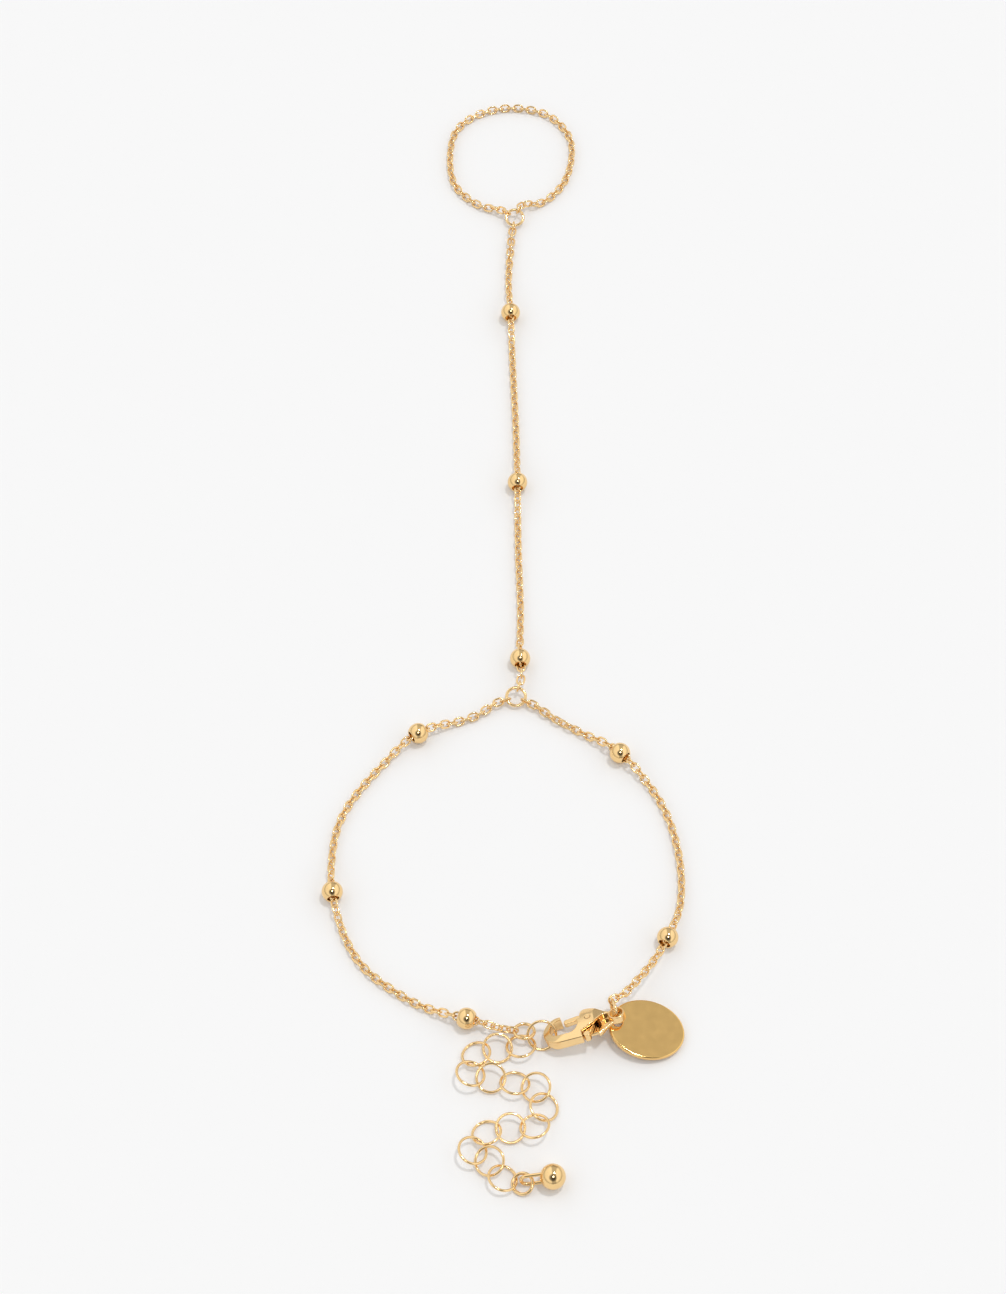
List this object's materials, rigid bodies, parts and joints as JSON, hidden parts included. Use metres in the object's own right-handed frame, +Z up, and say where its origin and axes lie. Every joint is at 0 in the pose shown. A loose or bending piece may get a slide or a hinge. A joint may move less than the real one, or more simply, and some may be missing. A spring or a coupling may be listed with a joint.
{
  "type": "hand chain bracelet",
  "caption": "Hand chain with a finger loop and a wrist chain of fine links and round beads, closed by a lobster clasp on a ring extender, with a plain oval tag and an end ball.",
  "frame": {"origin": "middle of the footprint of the whole object, on the table that it lies on", "axes": "+Z up from the table, +Y along the hand chain from the wrist chain to the finger loop, +X to the right seen from above"},
  "size_m": [0.051, 0.192, 0.0044],
  "materials": {
    "chain_gold": "polished pale gold plating on fine wire links",
    "ring_gold": "polished pale gold plating on round wire rings",
    "bead_gold": "polished pale gold plating on smooth round beads",
    "clasp_gold": "polished pale gold plating, softly rounded casting",
    "tag_gold": "polished pale gold plating on a flat plate"
  },
  "bodies": {
    "chain": {"finger_chain": "chain_gold", "finger_jump_ring": "ring_gold", "hand_chain": "chain_gold", "hand_bead_1": "bead_gold", "hand_bead_2": "bead_gold", "hand_bead_3": "bead_gold", "junction_jump_ring": "ring_gold", "wrist_chain_left": "chain_gold", "left_bead_1": "bead_gold", "left_bead_2": "bead_gold", "left_bead_3": "bead_gold", "wrist_chain_right": "chain_gold", "right_bead_1": "bead_gold", "right_bead_2": "bead_gold", "end_jump_ring": "ring_gold", "extender_ring_1": "ring_gold", "extender_ring_2": "ring_gold", "extender_ring_3": "ring_gold", "extender_ring_4": "ring_gold", "extender_ring_5": "ring_gold", "extender_ring_6": "ring_gold", "extender_ring_7": "ring_gold", "extender_ring_8": "ring_gold", "extender_ring_9": "ring_gold", "extender_ring_10": "ring_gold", "extender_ring_11": "ring_gold", "extender_ring_12": "ring_gold", "extender_ring_13": "ring_gold", "extender_ring_14": "ring_gold", "extender_ring_15": "ring_gold", "ball_jump_ring": "ring_gold", "end_ball": "bead_gold", "clasp_body": "clasp_gold", "clasp_pin": "clasp_gold", "tag_ring": "ring_gold", "tag_disc": "tag_gold"},
    "lever": {"clasp_lever": "clasp_gold"}
  },
  "joints": [
    {"name": "clasp_lever_hinge", "type": "hinge", "parent": "chain", "child": "lever", "pos_m": [0.01164, -0.07177, 0.00243], "axis": [-0.2796, 0.3546, 0.8922], "range_deg": [0, 18]}
  ]
}
